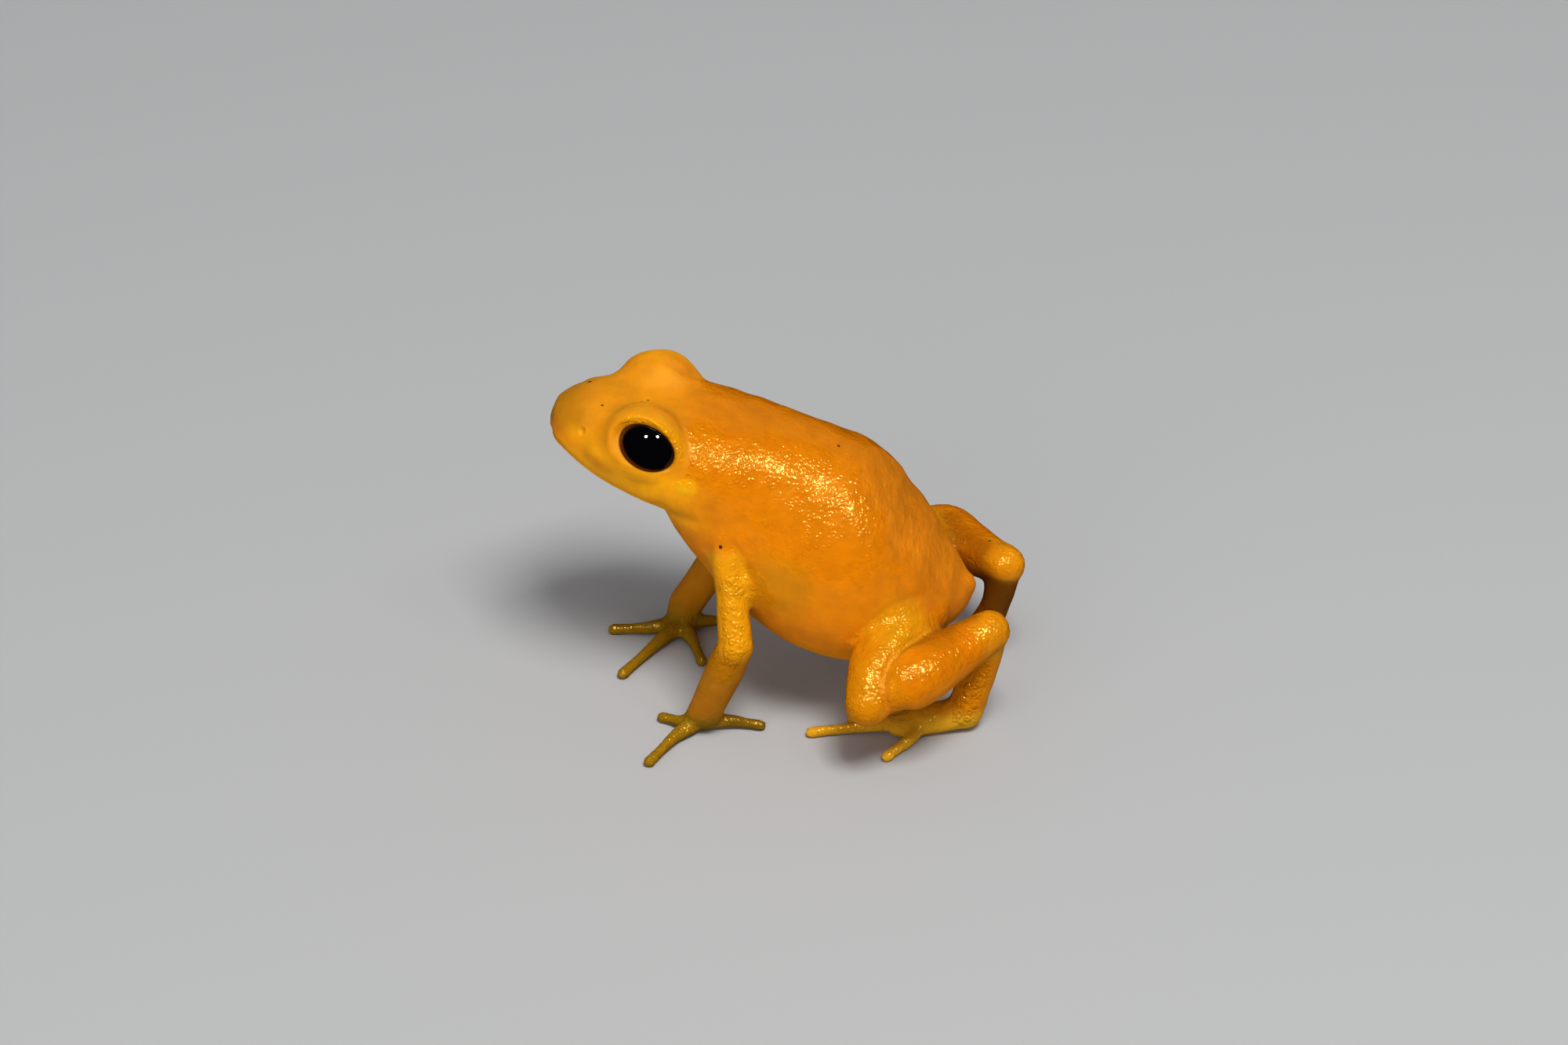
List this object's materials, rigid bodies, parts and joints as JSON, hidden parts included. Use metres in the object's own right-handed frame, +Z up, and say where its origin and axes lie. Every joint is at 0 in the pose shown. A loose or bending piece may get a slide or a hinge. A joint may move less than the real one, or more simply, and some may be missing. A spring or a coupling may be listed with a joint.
{
  "type": "golden mantella frog model",
  "caption": "Life-size still model of a small golden-orange frog with black eyes, sitting up on its arms with its heels raised.",
  "frame": {"origin": "centre of the footprint's bounding box, on the floor", "axes": "+Z up; the snout points along -X; the animal's left side is -Y"},
  "size_m": [0.025, 0.0192, 0.0187],
  "materials": {
    "back_skin": "deep orange wet granular skin of the back and flanks, painted and varnished on the model",
    "face_skin": "smoother yellow-orange wet skin of the head",
    "limb_skin": "orange wet granular skin of the arms and legs",
    "digit_skin": "smooth yellowish wet skin of the hands and feet",
    "eye": "black, polished like glass, with a thin dark brown rim"
  },
  "bodies": {
    "root": {"head": "face_skin", "torso": "back_skin", "eye_left": "eye", "eye_right": "eye", "upper_arm_left": "limb_skin", "forearm_left": "limb_skin", "hand_left": "digit_skin", "thigh_left": "limb_skin", "shank_left": "limb_skin", "tarsus_left": "limb_skin", "foot_left": "digit_skin", "upper_arm_right": "limb_skin", "forearm_right": "limb_skin", "hand_right": "digit_skin", "thigh_right": "limb_skin", "shank_right": "limb_skin", "tarsus_right": "limb_skin", "foot_right": "digit_skin"}
  },
  "joints": []
}
